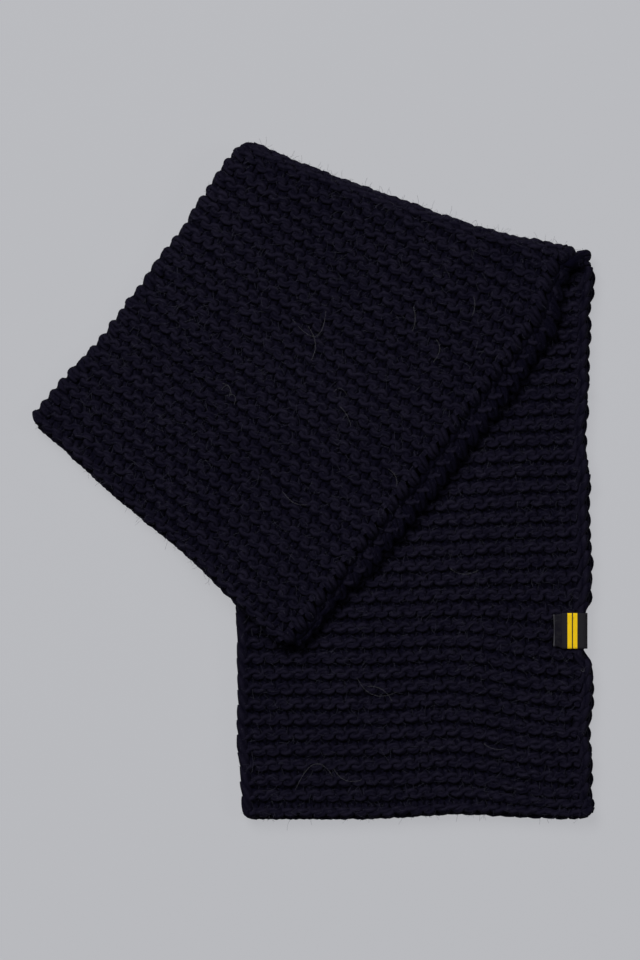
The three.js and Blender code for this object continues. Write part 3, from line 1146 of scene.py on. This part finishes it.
def makeTab():
    path = tabPath()
    widths = np.linspace(0, 1, tab["widthSteps"])
    points = [tabPoint(step, x, z, width) for step, (x, z) in enumerate(path) for width in widths]
    faces = []
    count = len(widths)
    for step in range(len(path) - 1):
        for width in range(count - 1):
            a = step * count + width
            faces.append((a, a + count, a + count + 1, a + 1))
    made = meshObject("ribbon_tab", points, faces)
    made.data.polygons.foreach_set("use_smooth", [True] * len(made.data.polygons))
    made.data.materials.append(wovenRibbon)
    solid = made.modifiers.new("wall", "SOLIDIFY")
    solid.thickness = tab["wall"] * mm
    solid.offset = 0
    return made


ribbonTab = makeTab()

print("loose fibres")

firstFuzzSeed = 20


def makeFuzz():
    tree = fuzzTree()
    made = []
    for number, source in enumerate(lowerKnit + flapKnit):
        made.append(grow(source, tree, f"{source.name}_fuzz", {"Seed": firstFuzzSeed + number}))
    return made


fuzzPieces = makeFuzz()

strays = {"Hair Radius": 0.07 * mm, "Sides": 3}

# Start, middle and end of the few long pale hairs, with the height they lie at
strayHairs = {
    "upper": [
        [(-15, 113), (6, 86), (8.5, 120)], [(-4, 108), (5, 96), (-2, 84)], [(70, 122), (73, 113), (69, 104)],
        [(-65, 68), (-56, 68), (-60, 57)], [(-62, 59), (-53, 63), (-56, 53)],
        [(-66, 62), (-60, 72), (-58, 60)], [(14, 62), (19, 68), (23, 60)],
        [(112, 130), (115, 122), (111, 115)], [(86, 99), (92, 92), (84, 83)],
        [(18, 52), (24, 47), (26, 38)], [(-22, -8), (-14, -20), (-4, -17)], [(52, 8), (60, 4), (58, -6)],
    ],
    "lower": [
        [(-13, -219), (0, -188), (13, -209)], [(14, -204), (20, -216), (34, -212)],
        [(30, -139), (40, -160), (60, -149)], [(36, -146), (50, -144), (56, -158)],
        [(188.6, -134), (190.6, -137), (191.6, -133)], [(96, -62), (104, -70), (116, -64)],
        [(120, -186), (126, -192), (136, -190)],
    ],
    "upperZ": 33.9,
    "lowerZ": 17.6,
    "steps": 14,
    "droop": 2.4,
}


def strayTree():
    tree, graph, wires = newTree("stray_hairs", strays)
    curve = graph.node("GeometryNodeMeshToCurve", sockets={"Mesh": wires["Geometry"]})
    circle = graph.circle(wires["Sides"], wires["Hair Radius"])
    endTree(graph, graph.swept(curve, circle), paleFibre)
    return tree


def makeStrays(part):
    share = np.linspace(0, 1, strayHairs["steps"])[:, None]
    height = strayHairs[part + "Z"] - strayHairs["droop"] * (2 * share - 1) ** 2
    lines = []
    for start, middle, end in np.array(strayHairs[part], float):
        line = start * (1 - share) ** 2 + middle * 2 * share * (1 - share) + end * share ** 2
        lines.append(np.hstack([line, height]))
    return growOnce(linesObject(part + "_hair_lines", lines), strayTree(), part + "_stray_hairs")


strayPieces = [makeStrays("upper"), makeStrays("lower")]

print("bodies and cloth")

yarnPieces = lowerKnit + flapKnit + underKnit + selvedges + fuzzPieces + strayPieces
for made in yarnPieces + [lowerBody, flapBody, foldBody]:
    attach(made, "root")
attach(ribbonTab, "root")
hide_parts("lower_stretch")
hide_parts("folded_stretch")
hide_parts("turned_fold")
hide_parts("label_tab")

print("stage")

# The camera's lens and sensor and how much of the floor it sees, in millimetres; the rest is in metres
stage = {"lens": 200, "sensor": 36, "centreX": 4.3, "view": 681.6, "clipEnd": 100, "floorSize": 6.0}

# Place, size and power of each light
lamps = {
    "key": ((-1.7, 2.7, 4.5), 2.8, 378),
    "side": ((3.2, 0.2, 3.4), 1.6, 42),
}
sky = {"colour": (0.9, 0.95, 1.0, 1), "strength": 0.05}


def makeStage():
    bpy.ops.mesh.primitive_plane_add(size=stage["floorSize"])
    floor = bpy.context.object
    floor.name = "floor"
    floor.data.materials.append(floorMaterial())
    data = bpy.data.cameras.new("camera")
    data.lens = stage["lens"]
    data.sensor_width = stage["sensor"]
    data.clip_end = stage["clipEnd"]
    camera = addObject("camera", data)
    distance = stage["view"] * stage["lens"] / stage["sensor"]
    camera.location = (stage["centreX"] * mm, 0, distance * mm)
    bpy.context.scene.camera = camera
    bpy.context.scene.view_settings.view_transform = "Standard"


def makeLight(name, place, size, power):
    data = bpy.data.lights.new(name, "AREA")
    data.size = size
    data.energy = power
    light = addObject(name, data)
    light.location = place
    light.rotation_euler = Vector(place).to_track_quat("Z", "Y").to_euler()


def makeSky():
    world = bpy.data.worlds.new("studio")
    world.use_nodes = True
    background = world.node_tree.nodes["Background"]
    background.inputs["Color"].default_value = sky["colour"]
    background.inputs["Strength"].default_value = sky["strength"]
    bpy.context.scene.world = world


makeStage()
for name, (place, size, power) in lamps.items():
    makeLight(name, place, size, power)
makeSky()
